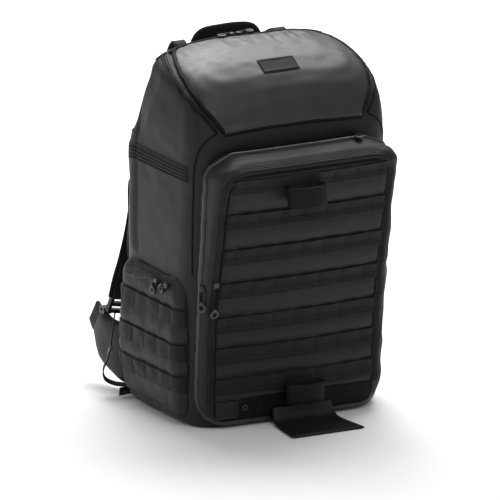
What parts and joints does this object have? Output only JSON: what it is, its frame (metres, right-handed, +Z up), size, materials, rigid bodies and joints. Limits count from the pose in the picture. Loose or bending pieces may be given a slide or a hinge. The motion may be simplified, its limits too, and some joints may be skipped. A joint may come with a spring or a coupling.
{
  "type": "camera backpack",
  "caption": "Tall lidded camera backpack with a zipped front compartment, webbing rows, side pockets, padded straps and a hip belt.",
  "frame": {"origin": "middle of the flat base, on the floor", "axes": "+Z up, +X to the right of someone facing the front, +Y from the front towards the wearer"},
  "size_m": [0.3894, 0.4712, 0.5708],
  "materials": {
    "coated": "coated nylon, satin",
    "webbing": "woven nylon, matte",
    "mesh": "spacer mesh over foam, matte",
    "rubber": "satin",
    "plastic": "fine textured",
    "metal": "satin"
  },
  "bodies": {
    "root": {"body_shell": "coated", "lid": "coated", "front_compartment": "coated", "foot_sleeve": "coated", "side_pocket_left": "coated", "side_pocket_right": "coated", "hip_belt_left": "coated", "hip_belt_right": "coated", "lid_zip": "webbing", "front_zip": "webbing", "grab_handle": "webbing", "upper_loop": "webbing", "lower_loop": "webbing", "face_hem": "webbing", "face_row_1": "webbing", "face_row_2": "webbing", "face_row_3": "webbing", "face_row_4": "webbing", "face_row_5": "webbing", "face_row_6": "webbing", "face_row_7": "webbing", "pocket_row_1_left": "webbing", "pocket_row_1_right": "webbing", "pocket_row_2_left": "webbing", "pocket_row_2_right": "webbing", "pocket_row_3_left": "webbing", "pocket_row_3_right": "webbing", "pocket_zip_left": "webbing", "pocket_zip_right": "webbing", "side_strip_left": "webbing", "side_strip_right": "webbing", "strap_webbing_left": "webbing", "strap_webbing_right": "webbing", "load_lifter_left": "webbing", "load_lifter_right": "webbing", "base_tab_left": "webbing", "base_tab_right": "webbing", "back_pad": "mesh", "shoulder_strap_left": "mesh", "shoulder_strap_right": "mesh", "lid_patch": "rubber", "compartment_piping": "rubber", "belt_tab_left": "rubber", "belt_tab_right": "rubber", "strap_buckle_left": "plastic", "strap_buckle_right": "plastic", "strap_triglide_left": "plastic", "strap_triglide_right": "plastic", "belt_buckle_left": "plastic", "belt_buckle_right": "plastic", "hem_eyelet": "metal", "front_pull_1": "metal", "front_pull_2": "metal", "front_pull_3": "metal", "lid_pull_1": "metal", "lid_pull_2": "metal", "pocket_pull_1_left": "metal", "pocket_pull_1_right": "metal", "pocket_pull_2_left": "metal", "pocket_pull_2_right": "metal"}
  },
  "joints": []
}
